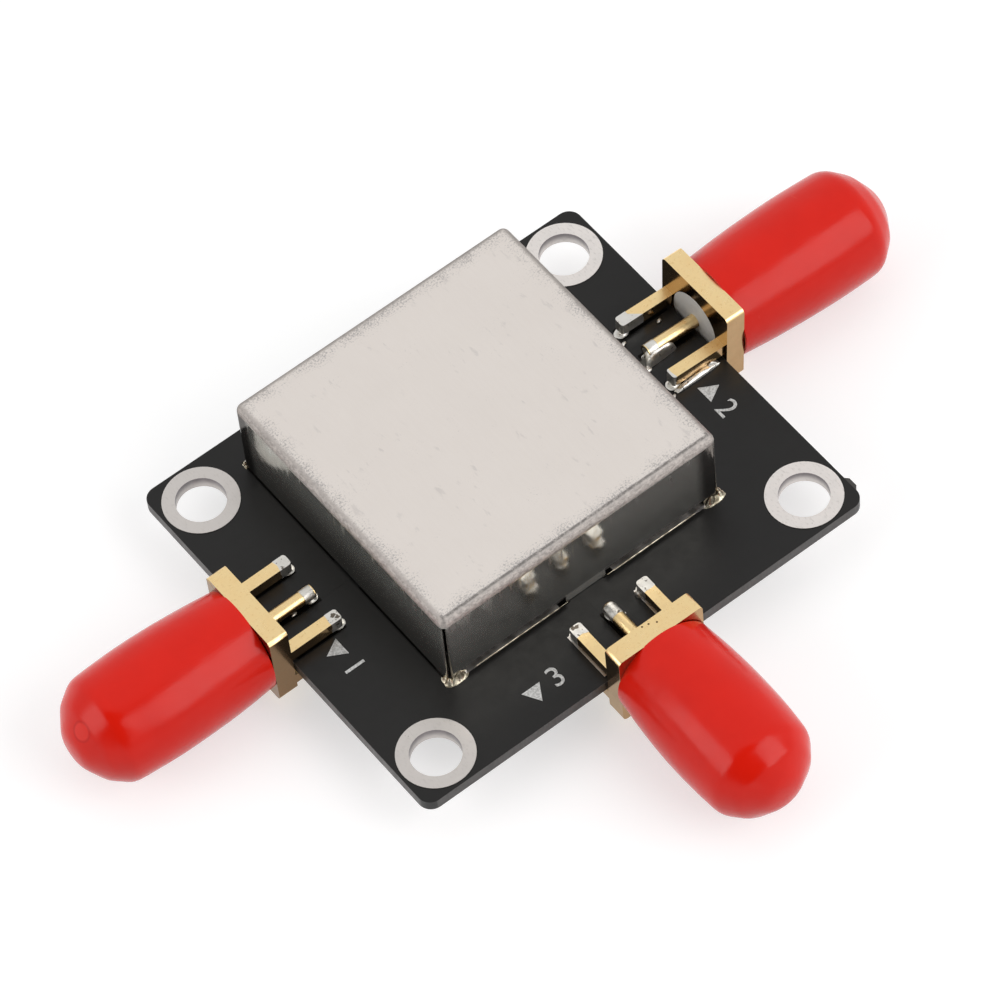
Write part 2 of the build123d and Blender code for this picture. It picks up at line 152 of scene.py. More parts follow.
# Marks and traces on the board
MARK_HEIGHT_MM = 1.5
MARK_THICKNESS_MM = 0.012
MARK_FONT_SHARE = 1.35
MARK_APART_SHARE = 0.55
MARK_ARROW_SHARE = 0.52
TRACE_SHOWS_MM = 0.004

# Printed marks: name, number, place, turn, and whether the arrowhead points up beside the number
MARKS = (
    ("lo_mark", "1", (-14.2, -3.0), -90, False),
    ("rf_mark", "2", (14.5, -2.95), -90, True),
    ("if_mark", "3", (-6.2, -12.2), 0, False),
)

# Blocks in which the copper is painted black as shade: beside the can, round two ports and under
# one pin
SHADE_PAINTED_COPPER_MM = (
    ((-11.4, -9.5, 0.5), (-10.42, 13.5, 1.2)),
    ((-17.0, -1.7, 0.5), (-12.5, 5.2, 1.2)),
    ((12.5, -1.2, 0.5), (17.0, 5.7, 1.2)),
    ((-0.95, -14.6, 0.5), (0.65, -10.0, 1.2)),
    ((-2.2, -9.4, 0.5), (1.9, -8.2, 1.2)),
)

# Blocks round the can's middle foot in front and round the solder at its corners
CAN_FOOT_BLOCK_MM = ((-1.65, CAN_LOW_MM[1] - 0.1, -0.2), (1.35, CAN_LOW_MM[1] + 0.1, 1.55))
CAN_SOLDER_BLOCK_MM = ((-12.0, -9.6, -1.0), (12.0, 13.8, 3.0))

# Round moulding mark on the nose of one cap
GATE_MARK_MM = (-30.13, 1.5, 3.62)

# Dark flux on two tinned tips
FLUX_SPOTS_MM = (
    (-13.12, -0.98, 1.87),
    (-13.30, -0.72, 1.87),
    (-2.86, -10.70, 1.87),
    (-2.62, -10.78, 1.87),
)

# Dark pits in the gold of one flange
GOLD_PITS_MM = (
    (-0.62, -14.72, 4.6),
    (-0.20, -14.81, 4.6),
    (0.27, -15.02, 4.6),
)

# Heaps of solder on a port's pads, in the frame of its edge:
# place, turn in degrees, half length, half width, height, kind and seed
TIP_HEAPS = [
    (-3.62, -LEG_Y_MM, 0, 0.50, 0.42, 0.22, "bell", 1.0),
    (-3.62, LEG_Y_MM, 0, 0.50, 0.42, 0.22, "bell", 2.0),
    (-3.50, 0.0, 0, 0.50, 0.40, 0.30, "bell", 3.0),
]
RF_HEAPS = [
    (-2.95, -0.27, 2, 1.22, 0.44, 1.04, "bar", 4.0),
    (-3.40, -0.16, 10, 0.70, 0.44, 1.10, "dome", 5.0),
    (-4.00, -0.50, 62, 0.42, 0.26, 0.30, "bell", 7.0),
    (-2.15, -LEG_Y_MM - 0.53, 1, 1.70, 0.22, 0.26, "bar", 8.0),
    (-0.95, -LEG_Y_MM - 0.44, 0, 0.55, 0.26, 0.42, "bell", 9.0),
    (-1.30, 1.72, 20, 0.20, 0.13, 0.12, "dome", 10.0),
    (-4.15, -LEG_Y_MM - 0.75, 30, 0.22, 0.10, 0.06, "dome", 11.0),
    (-4.05, LEG_Y_MM - 0.75, 15, 0.22, 0.12, 0.08, "dome", 12.0),
]
IF_HEAPS = [
    (-3.55, 2.06, 0, 0.24, 0.14, 0.30, "dome", 13.0),
    (-3.35, 0.62, 0, 0.10, 0.07, 0.08, "dome", 14.0),
    (-3.05, 0.72, 0, 0.07, 0.05, 0.05, "dome", 15.0),
]
LO_HEAPS = [
    (-2.05, 0.30, 10, 0.22, 0.08, 0.06, "dome", 16.0),
]

# Solder of each port: tinned leg tips as side, length and slant of their border,
# the heaps, and length and bulge of the solder on the pin
PORT_SOLDER = {
    "lo": (((-LEG_Y_MM, 0.85, 0.0), (LEG_Y_MM, 0.8, 0.1)), TIP_HEAPS + LO_HEAPS, (0.85, 0.16)),
    "rf": (((LEG_Y_MM, 1.05, -1.1), (-LEG_Y_MM, 0.12, 0.0)), TIP_HEAPS + RF_HEAPS, (0.8, 0.14)),
    "if": (((-LEG_Y_MM, 0.85, 0.1), (LEG_Y_MM, 0.9, 0.0)), TIP_HEAPS + IF_HEAPS, (0.95, 0.34)),
}

# Heaps along a lower leg: places, and half sizes and height
LOWER_HEAP_X_MM = (-3.1, -2.2, -1.3)
LOWER_HEAP_MM = (0.75, 0.5, 0.9)

# How heaps are drawn: rings, steps, unevenness, and how square and how crumpled a bar is. The
# noise that crumples it takes its start from the clock unless it is given one.
HEAP_RINGS = 9
HEAP_STEPS = 36
HEAP_WOBBLE = 0.10
CAN_HEAP_WOBBLE = 0.08
BEAD_WOBBLE = 0.05
BAR_SQUARENESS = 0.4
BAR_CRUMPLE_MM = 0.06
CRUMPLE_START = 1

# How the solder on a leg's tip is drawn: thickness at its sides, top and end, cuts of each side,
# how much they gather at the tip, small wrinkles and ragged border
COAT_MM = 0.018
COAT_TOP_MM = 0.014
COAT_END_MM = 0.02
COAT_CUTS = 7
COAT_GATHER = 1.7
COAT_WRINKLE_MM = 0.02
COAT_RAGGED_MM = 0.12

# The same for the pin: thickness, length of its edge and of its rounded end, and steps
PIN_COAT_MM = 0.02
PIN_COAT_EDGE_MM = 0.06
PIN_END_MM = 0.1
PIN_END_STEPS = 8
PIN_SPIN_STEPS = 40

# Solder at the can: beads along its front wall as middle and half length, their half width and
# height, and heaps at each corner as place from the corner, half sizes, height and kind, with a
# share of the full size for each corner: low X and low Y, low X and high Y, and so on
CAN_BEADS_MM = ((-5.2, 3.6), (4.9, 3.5))
CAN_BEAD_MM = (0.05, 0.06)
CAN_CORNER_SHARES = (1.0, 0.5, 1.0, 0.9)
CAN_CORNER_HEAPS = (
    (0.58, -0.02, 0.86, 0.34, 0.36, "bell"),
    (0.74, -0.02, 0.50, 0.30, 0.60, "bell"),
    (0.08, 0.08, 0.36, 0.36, 0.42, "bell"),
    (0.00, 0.34, 0.24, 0.38, 0.28, "bell"),
)

# Thread of the barrels, 36 turns to the inch
THREAD_PITCH_MM = 25.4 / 36
THREAD_ROOT_MM = 2.75
THREAD_STEPS = 64
THREAD_PROFILE = ((0.0, 1.0), (0.125, 1.0), (0.4375, 0.0), (0.6875, 0.0))

# Floor, and a white tent with a dark gap: its heading, its outer and inner half angle, its share
# of the tent's level. Soft lights: name, azimuth, elevation, distance, width, height, brightness.
FLOOR_GREY = 0.56
FLOOR_HALF_M = 3.0
TENT_LEVEL = 0.8
TENT_GAP_HEADING_DEG = (-38, 43)
TENT_GAP_DEG = (45, 33)
TENT_GAP_SHARE = 0.04
SOFTBOXES = (
    ("front_softbox", 28, 36, 600, 470, 500, 2.4),
    ("side_softbox", -102, 28, 600, 430, 350, 2.2),
)


# Finishes

class Finish:
    """A material under construction: its Principled shader and short calls that add nodes."""

    def __init__(self, name, colour, roughness, metallic=0.0):
        self.material = bpy.data.materials.new(name)
        self.material.use_nodes = True
        self.tree = self.material.node_tree
        self.shader = self.tree.nodes["Principled BSDF"]
        self.shader.inputs["Base Color"].default_value = (*colour, 1)
        self.shader.inputs["Roughness"].default_value = roughness
        self.shader.inputs["Metallic"].default_value = metallic
        in_mm = self.add("ShaderNodeMapping")
        in_mm.inputs["Scale"].default_value = (1 / MM, 1 / MM, 1 / MM)
        self.feed(in_mm.inputs["Vector"], self.add("ShaderNodeTexCoord").outputs["Object"])
        self.point = in_mm.outputs["Vector"]
        self.bumps = None

    def add(self, kind, **settings):
        node = self.tree.nodes.new(kind)
        for key, value in settings.items():
            setattr(node, key, value)
        return node

    def feed(self, socket, value):
        """Links a socket into another, or sets a plain value on it."""
        if isinstance(value, bpy.types.NodeSocket):
            self.tree.links.new(value, socket)
        else:
            socket.default_value = value

    def set(self, name, value):
        self.feed(self.shader.inputs[name], value)

    def math(self, operation, a, b=0.0, clamp=False):
        node = self.add("ShaderNodeMath", operation=operation, use_clamp=clamp)
        self.feed(node.inputs[0], a)
        self.feed(node.inputs[1], b)
        return node.outputs[0]

    def times(self, a, b):
        return self.math("MULTIPLY", a, b)

    def band(self, value, low, high, out_low=0.0, out_high=1.0):
        """Value mapped smoothly from low..high to out_low..out_high."""
        node = self.add("ShaderNodeMapRange", interpolation_type="SMOOTHSTEP", clamp=True)
        for socket, given in zip(node.inputs[:5], (value, low, high, out_low, out_high)):
            self.feed(socket, given)
        return node.outputs[0]

    def mix(self, share, a, b):
        """A colour between a and b."""
        node = self.add("ShaderNodeMix", data_type="RGBA")
        self.feed(node.inputs[0], share)
        self.feed(node.inputs[6], a if isinstance(a, bpy.types.NodeSocket) else (*a, 1))
        self.feed(node.inputs[7], b if isinstance(b, bpy.types.NodeSocket) else (*b, 1))
        return node.outputs[2]

    def blend(self, share, a, b):
        """A number between a and b."""
        node = self.add("ShaderNodeMix", data_type="FLOAT")
        for socket, value in zip((node.inputs[0], node.inputs[2], node.inputs[3]), (share, a, b)):
            self.feed(socket, value)
        return node.outputs[0]

    def stretched(self, scale, turn_deg=(0, 0, 0)):
        """The millimetre place, scaled and turned for a directional pattern."""
        node = self.add("ShaderNodeMapping")
        node.inputs["Scale"].default_value = scale
        node.inputs["Rotation"].default_value = [math.radians(a) for a in turn_deg]
        self.tree.links.new(self.point, node.inputs["Vector"])
        return node.outputs["Vector"]

    def noise(self, scale, detail=3.0, roughness=0.55, vector=None):
        """Cloudy noise from zero to one, its scale in waves a millimetre."""
        node = self.add("ShaderNodeTexNoise")
        self.feed(node.inputs["Vector"], vector or self.point)
        node.inputs["Scale"].default_value = scale
        node.inputs["Detail"].default_value = detail
        node.inputs["Roughness"].default_value = roughness
        return node.outputs["Fac"]

    def cells(self, scale):
        """Distance to the nearest of some scattered points."""
        node = self.add("ShaderNodeTexVoronoi")
        self.feed(node.inputs["Vector"], self.point)
        node.inputs["Scale"].default_value = scale
        return node.outputs["Distance"]

    def split(self, vector):
        """The X, Y and Z of a vector."""
        node = self.add("ShaderNodeSeparateXYZ")
        self.feed(node.inputs[0], vector)
        return node.outputs[0], node.outputs[1], node.outputs[2]

    def axes(self):
        """The place's X, Y and Z in millimetres."""
        return self.split(self.point)

    def normal(self):
        """The X, Y and Z of the surface's direction."""
        return self.split(self.add("ShaderNodeNewGeometry").outputs["Normal"])

    def upright(self):
        """One on upright faces, fading to zero on level ones."""
        return self.band(self.math("ABSOLUTE", self.normal()[2]), 0.15, 0.6, 1.0, 0.0)

    def inside(self, low, high):
        """One inside an upright block given by two corners, zero outside."""
        share = 1.0
        for axis, start, end in zip(self.axes(), low, high):
            from_start = self.band(axis, start - 0.03, start + 0.03)
            to_end = self.band(axis, end - 0.03, end + 0.03, 1.0, 0.0)
            share = self.times(share, self.times(from_start, to_end))
        return share

    def spot(self, place, radius, ragged=0.0):
        """One within the radius of a place, fading to zero at its perhaps ragged border."""
        node = self.add("ShaderNodeVectorMath", operation="DISTANCE")
        self.feed(node.inputs[0], self.point)
        node.inputs[1].default_value = place
        away = node.outputs["Value"]
        if ragged:
            uneven = self.math("SUBTRACT", self.noise(4.0, 2.0), 0.5)
            away = self.math("ADD", away, self.times(uneven, ragged))
        return self.band(away, 0.7 * radius, radius, 1.0, 0.0)

    def bump(self, height, depth_mm):
        """Adds a height pattern of the given depth to the shader's normal."""
        node = self.add("ShaderNodeBump")
        node.inputs["Distance"].default_value = depth_mm * MM
        self.tree.links.new(height, node.inputs["Height"])
        if self.bumps is not None:
            self.tree.links.new(self.bumps, node.inputs["Normal"])
        self.bumps = node.outputs["Normal"]
        self.tree.links.new(self.bumps, self.shader.inputs["Normal"])


def board_mask():
    """Satin black solder mask, with laminate showing along the cut edges."""
    f = Finish("board_mask", (0.008, 0.0075, 0.007), 0.34)
    past = []
    for axis, half in zip(f.axes(), BOARD_HALF_MM):
        past.append(f.math("SUBTRACT", f.math("ABSOLUTE", axis), half))
    edge = f.band(f.math("MAXIMUM", *past), -0.03, -0.01)
    fibre = f.noise(9.0, vector=f.stretched((1, 1, 0.12)))
    laminate = f.mix(fibre, (0.030, 0.028, 0.026), (0.085, 0.080, 0.077))
    soot = f.mix(f.noise(0.35), (0.0065, 0.006, 0.0057), (0.0105, 0.0098, 0.0092))
    f.set("Base Color", f.mix(edge, soot, laminate))
    f.set("Roughness", f.band(f.noise(1.3, 4.0), 0.3, 0.7, 0.30, 0.42))
    f.set("IOR", 1.4)
    f.bump(f.noise(0.8, 2.0), 0.012)
    f.bump(f.noise(14.0, 2.0), 0.002)
    return f.material


def tinned_copper():
    """Tinned pads and rings, dull and slightly uneven, with painted shade in the bores, and
    painted black as shade beside the can, round two ports and under one pin."""
    f = Finish("tinned_copper", (0.84, 0.80, 0.77), 0.38, 1.0)
    patch = f.noise(1.7, 4.0)
    older = f.mix(patch, (0.65, 0.61, 0.58), (0.76, 0.72, 0.69))
    newer = f.mix(patch, (0.82, 0.775, 0.74), (0.95, 0.90, 0.865))
    tinned = f.mix(f.band(f.axes()[0], -13.0, 13.0), older, newer)
    scratch = f.noise(7.0, 4.0, vector=f.stretched((1, 0.4, 1), (0, 0, 20)))
    tinned = f.mix(f.band(scratch, 0.52, 0.72, 0.0, 0.45), tinned, (0.58, 0.54, 0.51))
    speck = f.band(f.cells(1.5), 0.03, 0.055, 0.7, 0.0)
    tinned = f.mix(speck, tinned, (0.22, 0.19, 0.17))
    # Painted shade: upright faces such as the bores' walls darkened, most near the board's top
    bore = f.times(f.upright(), f.band(f.axes()[2], 0.05, 0.75, 0.25, 1.0))
    tinned = f.mix(bore, tinned, (0.24, 0.22, 0.225))
    # Painted shade: copper inside the listed blocks painted black
    painted_shade = 0.0
    for low, high in SHADE_PAINTED_COPPER_MM:
        painted_shade = f.math("MAXIMUM", painted_shade, f.inside(low, high))
    f.set("Base Color", f.mix(painted_shade, tinned, (0.012, 0.011, 0.010)))
    f.set("Roughness", f.band(patch, 0.3, 0.7, 0.32, 0.5))
    f.bump(f.noise(6.0, 3.0), 0.006)
    return f.material


def can_edge_distance(f, operation="MAXIMUM"):
    """How far a place is outside the can's side walls, negative within them. MAXIMUM takes the
    nearest wall, and MINIMUM is near zero only along the upright corners."""
    past = []
    for axis, low, high in zip(f.axes(), CAN_LOW_MM, CAN_HIGH_MM):
        from_middle = f.math("ABSOLUTE", f.math("SUBTRACT", axis, (low + high) / 2))
        past.append(f.math("SUBTRACT", from_middle, (high - low) / 2))
    return f.math(operation, *past)


def scuffed_top(f, past):
    """Colour of the can's dull top: clouds, streaky smears and specks, most of them near a bend."""
    near_bend = f.band(past, -1.9, -0.45)
    wear = f.math("ADD", f.times(near_bend, 0.17), f.times(f.noise(0.55, 3.0), 0.34))
    speck = f.band(f.math("ADD", f.noise(8.0, 6.0, 0.75), wear), 0.80, 0.97)
    cloud = f.mix(f.noise(0.25, 3.0), (0.825, 0.77, 0.725), (0.865, 0.81, 0.765))
    dull = f.mix(speck, cloud, (0.50, 0.47, 0.455))
    smear = f.noise(2.2, 4.0, vector=f.stretched((1, 0.35, 1), (0, 0, 40)))
    patch = f.times(f.band(smear, 0.58, 0.70), f.band(f.noise(0.4, 2.0), 0.48, 0.60))
    return f.mix(f.times(patch, 0.4), dull, (0.60, 0.56, 0.54))


def fold_line(f, past, grit):
    """Share of the dark broken line that runs along the front bend."""
    line = f.times(f.band(past, -0.56, -0.46), f.band(past, -0.40, -0.28, 1.0, 0.0))
    line = f.times(line, f.band(grit, 0.44, 0.66, 0.9, 0.2))
    in_front = f.band(f.axes()[1], CAN_LOW_MM[1] + 0.6, CAN_LOW_MM[1] + 0.75, 1.0, 0.0)
    return f.times(line, in_front)


def hazy_wall(f, smudge, corner):
    """Colour of the can's walls: smudged below the bend, duller at the corners, a painted
    reflection that makes the left wall lighter high up, and painted shade at one end of the left
    wall and of the front wall."""
    x, y, z = f.axes()
    wall = f.mix(smudge, (0.74, 0.72, 0.67), (0.56, 0.53, 0.50))
    wall = f.mix(corner, wall, (0.60, 0.57, 0.54))
    left = f.band(x, CAN_LOW_MM[0] + 0.1, CAN_LOW_MM[0] + 0.3, 1.0, 0.0)
    front = f.band(y, CAN_LOW_MM[1] + 0.1, CAN_LOW_MM[1] + 0.3, 1.0, 0.0)
    # Painted reflection: the left wall's upper part tinted a lighter greenish white
    wall = f.mix(f.times(left, f.band(z, 3.5, 5.5, 0.0, 0.7)), wall, (0.93, 0.95, 0.88))
    # Painted shade: dark at the far end of the left wall and at the right end of the front wall
    left_end_shade = f.times(left, f.band(y, CAN_HIGH_MM[1] - 1.7, CAN_HIGH_MM[1] - 1.0))
    right_end_shade = f.times(front, f.band(x, CAN_HIGH_MM[0] - 1.9, CAN_HIGH_MM[0] - 1.0))
    return f.mix(f.math("MAXIMUM", left_end_shade, right_end_shade), wall, (0.17, 0.16, 0.15))


def tinplate():
    """Tinplate sheet: a scuffed dull top, glossy hazy walls, and bends rubbed grey and grainy."""
    f = Finish("tinplate", (0.88, 0.82, 0.78), 0.4, 0.9)
    z = f.axes()[2]
    past = can_edge_distance(f)
    corner = f.band(can_edge_distance(f, "MINIMUM"), -0.42, -0.06)
    grit = f.noise(6.0, 5.0, 0.75, vector=f.stretched((0.6, 0.6, 1.4)))
    ragged = f.math("ADD", past, f.times(f.math("SUBTRACT", grit, 0.5), 0.5))
    flat = f.band(ragged, -0.58, -0.20, 1.0, 0.0)
    above_wall = f.band(z, CAN_WALL_TOP_MM - 0.06, CAN_WALL_TOP_MM + 0.12)
    streak = f.noise(2.4, 3.0, vector=f.stretched((1, 1, 0.10)))
    smudge = f.times(f.band(streak, 0.45, 0.7), f.band(z, CAN_WALL_TOP_MM - 2.2, CAN_WALL_TOP_MM))
    rubbed = f.mix(f.band(grit, 0.36, 0.62), (0.30, 0.275, 0.26), (0.50, 0.46, 0.43))
    sheet = f.mix(above_wall, hazy_wall(f, smudge, corner), rubbed)
    sheet = f.mix(flat, sheet, scuffed_top(f, past))
    f.set("Base Color", f.mix(fold_line(f, past, grit), sheet, (0.20, 0.185, 0.175)))

    metal = f.band(z, 1.5, CAN_WALL_TOP_MM, 0.985, 0.90)
    metal = f.blend(f.inside(*CAN_FOOT_BLOCK_MM), metal, 0.84)
    metal = f.blend(corner, metal, 0.80)
    f.set("Metallic", f.blend(f.times(flat, above_wall), metal, 0.75))
    f.set("Specular Tint", (0.5, 0.5, 0.5, 1))
    fine = f.noise(5.0, 4.0, vector=f.stretched((1, 0.15, 1), (0, 0, 35)))
    rough_top = f.band(fine, 0.3, 0.7, 0.58, 0.63)
    rough_wall = f.math("ADD", f.times(smudge, 0.22), f.times(corner, 0.2))
    rough_wall = f.math("ADD", rough_wall, 0.11)
    f.set("Roughness", f.blend(above_wall, rough_wall, rough_top))
    f.bump(f.noise(0.35, 2.0), 0.05)
    f.bump(f.noise(9.0, 4.0), 0.0015)
    return f.material


def solder():
    """Solder with a satin, wrinkled skin: smoked at the can, painted golden where it looks to +Y
    so that the can's wall shows a golden reflection, and with a little dark flux in its hollows."""
    f = Finish("solder", (0.80, 0.77, 0.72), 0.3, 1.0)
    bright = f.mix(f.noise(1.1, 2.0), (0.74, 0.71, 0.65), (0.88, 0.865, 0.84))
    smoked = f.mix(f.band(f.noise(2.2, 3.0), 0.35, 0.6), (0.20, 0.17, 0.12), (0.70, 0.64, 0.50))
    bright = f.mix(f.inside(*CAN_SOLDER_BLOCK_MM), bright, smoked)
    # Painted reflection: golden tint on solder faces that look to +Y, standing in for gold seen in
    # the can's wall
    golden_reflection_tint = f.times(f.band(f.normal()[1], 0.5, 0.8), f.band(f.axes()[2], 0.2, 0.5))
    bright = f.mix(golden_reflection_tint, bright, (0.90, 0.60, 0.22))
    clean = f.band(f.noise(3.5, 2.0), 0.27, 0.39)
    for place in FLUX_SPOTS_MM:
        clean = f.math("SUBTRACT", clean, f.spot(place, 0.17, 0.5), True)
    f.set("Base Color", f.mix(clean, (0.16, 0.135, 0.11), bright))
    f.set("Roughness", f.band(f.noise(3.0, 3.0), 0.3, 0.7, 0.32, 0.48))
    f.bump(f.noise(2.5, 3.0), 0.030)
    return f.material


def gold_plate():
    """Gold plating: satin on top, glossier on its upright sides and painted darker there as shade,
    darkest on the LO flange, with a few pits.
    """
    f = Finish("gold_plate", (1.0, 0.76, 0.36), 0.3, 1.0)
    side = f.upright()
    tone = f.noise(0.9, 3.0)
    warm = f.mix(tone, (0.98, 0.70, 0.34), (1.0, 0.79, 0.43))
    warm = f.mix(f.band(f.noise(5.0, 5.0, 0.7), 0.52, 0.74, 0.0, 0.55), warm, (0.74, 0.46, 0.17))
    # Painted shade: upright sides darker, and darker still on the LO flange beyond x = -14
    side_shade = f.mix(tone, (0.34, 0.20, 0.085), (0.48, 0.31, 0.15))
    side_shade = f.mix(f.band(f.axes()[0], -16.0, -14.0, 1.0, 0.0), side_shade, (0.17, 0.085, 0.035))
    plated = f.mix(f.times(side, 0.9), warm, side_shade)
    pits = f.band(f.cells(1.2), 0.02, 0.03, 1.0, 0.0)
    for place in GOLD_PITS_MM:
        pits = f.math("MAXIMUM", pits, f.spot(place, 0.075))
    f.set("Base Color", f.mix(pits, plated, (0.12, 0.07, 0.03)))
    satin = f.band(f.noise(3.0, 3.0), 0.3, 0.7, 0.27, 0.36)
    f.set("Roughness", f.blend(side, satin, 0.16))
    f.bump(f.noise(12.0, 3.0), 0.0015)
    return f.material


def white_insulator():
    """White fluoropolymer, waxy and plain."""
    f = Finish("white_insulator", (0.78, 0.77, 0.755), 0.45)
    f.set("Base Color", f.mix(f.noise(3.0), (0.74, 0.73, 0.71), (0.82, 0.81, 0.80)))
    f.bump(f.noise(10.0), 0.004)
    return f.material


def red_vinyl():
    """Glossy red dip-moulded vinyl with a few faint scratches."""
    f = Finish("red_vinyl", (0.66, 0.010, 0.005), 0.2)
    scratch = f.noise(2.6, 3.0, vector=f.stretched((1, 0.06, 0.3), (0, 0, 25)))
    line = f.band(scratch, 0.70, 0.76)
    vinyl = f.mix(f.noise(0.5, 2.0), (0.67, 0.0105, 0.0035), (0.76, 0.0135, 0.0045))
    vinyl = f.mix(f.spot(GATE_MARK_MM, 0.78), vinyl, (0.56, 0.006, 0.003))
    vinyl = f.mix(f.spot(GATE_MARK_MM, 0.66), vinyl, (0.78, 0.030, 0.019))
    f.set("Base Color", f.mix(f.times(line, 0.10), vinyl, (0.80, 0.10, 0.07)))
    f.set("Roughness", f.band(f.noise(0.8, 3.0), 0.3, 0.7, 0.17, 0.26))
    f.set("IOR", 1.32)
    f.bump(f.noise(0.45, 2.0), 0.04)
    f.bump(f.noise(5.0, 2.0), 0.0015)
    return f.material


def white_ink():
    """Printed white marks, thin enough for the mask to grey them."""
    f = Finish("white_ink", (0.62, 0.62, 0.61), 0.5)
    cover = f.band(f.noise(7.0, 3.0), 0.35, 0.6)
    f.set("Base Color", f.mix(cover, (0.42, 0.42, 0.41), (0.68, 0.68, 0.67)))
    return f.material


def ferrite():
    """Dark grey sintered ferrite."""
    f = Finish("ferrite", (0.05, 0.047, 0.045), 0.6)
    f.set("Base Color", f.mix(f.noise(6.0, 4.0), (0.035, 0.033, 0.032), (0.075, 0.07, 0.068)))
    f.bump(f.noise(15.0), 0.01)
    return f.material


def enamelled_copper():
    """Winding wire."""
    f = Finish("enamelled_copper", (0.50, 0.17, 0.06), 0.25, 1.0)
    f.set("Base Color", f.mix(f.noise(4.0), (0.42, 0.13, 0.045), (0.58, 0.22, 0.08)))
    return f.material


def black_epoxy():
    """Moulded package of the diodes."""
    f = Finish("black_epoxy", (0.02, 0.02, 0.02), 0.5)
    f.set("Base Color", f.mix(f.noise(10.0), (0.016, 0.016, 0.016), (0.03, 0.03, 0.03)))
    f.bump(f.noise(25.0), 0.004)
    return f.material


def tan_ceramic():
    """Bodies of the chips."""
    f = Finish("tan_ceramic", (0.45, 0.33, 0.22), 0.5)
    f.set("Base Color", f.mix(f.noise(8.0), (0.40, 0.29, 0.19), (0.50, 0.37, 0.25)))
    return f.material


FINISHES = {
    "board_mask": board_mask(),
    "tinned_copper": tinned_copper(),
    "tinplate": tinplate(),
    "solder": solder(),
    "gold_plate": gold_plate(),
    "white_insulator": white_insulator(),
    "red_vinyl": red_vinyl(),
    "white_ink": white_ink(),
    "ferrite": ferrite(),
    "enamelled_copper": enamelled_copper(),
    "black_epoxy": black_epoxy(),
    "tan_ceramic": tan_ceramic(),
}


def dress_nodes():
    """Gives each node the finish of its slot in the record."""
    for part in frame["record"]["subparts"]:
        piece = nodes[part["node"]]
        for slot in piece.material_slots:
            slot.material = FINISHES[part["material_slot"]]


# Shapes

def at_edge(port):
    """Frame on the board's edge at a port, outward along X."""
    place = PORTS[port]
    turn = Matrix.Rotation(math.radians(place["heading"]), 4, "Z")
    return Matrix.Translation((*place["edge"], 0)) @ turn


def at_connector(port):
    """Frame at the middle of a connector's inner flange face, with its droop."""
    droop = Matrix.Rotation(math.radians(PORTS[port]["droop"]), 4, "Y")
    return at_edge(port) @ Matrix.Translation((CONNECTOR_GAP_MM, 0, AXIS_HEIGHT_MM)) @ droop


def move(form, matrix):
    """Places a whole form."""
    bmesh.ops.transform(form, verts=form.verts, matrix=matrix)


def bevel(form, edges, width, segments):
    """Rounds the given edges."""
    bmesh.ops.bevel(form, geom=edges, offset=width, offset_type="OFFSET", segments=segments,
                    profile=0.5, affect="EDGES", clamp_overlap=True, material=-1)


def crease(form):
    """Smooth faces, with sharp edges where they meet at more than the limit."""
    limit = math.radians(SHARP_DEG)
    for face in form.faces:
        face.smooth = True
    for edge in form.edges:
        edge.smooth = len(edge.link_faces) == 2 and edge.calc_face_angle(0.0) < limit


def show(name, form, finish, body, replaced=()):
    """Makes a piece of the object from a mesh drawn in millimetres."""
    crease(form)
    bmesh.ops.scale(form, verts=form.verts, vec=(MM, MM, MM))
    mesh = bpy.data.meshes.new(name)
    form.to_mesh(mesh)
    form.free()
    mesh.materials.append(FINISHES[finish])
    piece = bpy.data.objects.new(name, mesh)
    bpy.context.scene.collection.objects.link(piece)
    flat = piece.modifiers.new("flat_faces", "WEIGHTED_NORMAL")
    flat.keep_sharp = True
    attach(piece, body)
    if replaced:
        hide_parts(*replaced)


def copy_of(node):
    """A merged copy of a CAD node's mesh in millimetres, its flat faces made whole."""
    form = bmesh.new()
    form.from_mesh(nodes[node].data)
    bmesh.ops.scale(form, verts=form.verts, vec=(1 / MM, 1 / MM, 1 / MM))
    bmesh.ops.remove_doubles(form, verts=form.verts, dist=MERGE_MM)
    bmesh.ops.dissolve_limit(form, angle_limit=math.radians(FLAT_DEG), verts=form.verts,
                             edges=form.edges)
    bmesh.ops.recalc_face_normals(form, faces=form.faces)
    return form


def soften(form, width):
    """Rounds the sharp edges by a small width."""
    limit = math.radians(SHARP_DEG)
    sharp = []
    for edge in form.edges:
        if len(edge.link_faces) == 2 and edge.calc_face_angle(0.0) > limit:
            sharp.append(edge)
    bevel(form, sharp, width, 2)


def spun(outline, steps=SPIN_STEPS):
    """A mesh spun from an outline of (x, radius) points round the X axis."""
    form = bmesh.new()
    ring = [form.verts.new((x, 0, r)) for x, r in outline]
    edges = [form.edges.new(pair) for pair in zip(ring, ring[1:])]
    bmesh.ops.spin(form, geom=ring + edges, cent=(0, 0, 0), axis=(1, 0, 0), dvec=(0, 0, 0),
                   angle=2 * math.pi, steps=steps, space=Matrix.Identity(4), use_merge=True)
    bmesh.ops.remove_doubles(form, verts=form.verts, dist=MERGE_MM)
    bmesh.ops.recalc_face_normals(form, faces=form.faces)
    return form


def add_to(form, other):
    """Adds another mesh to a form and frees it."""
    mesh = bpy.data.meshes.new("joined")
    other.to_mesh(mesh)
    other.free()
    form.from_mesh(mesh)
    bpy.data.meshes.remove(mesh)


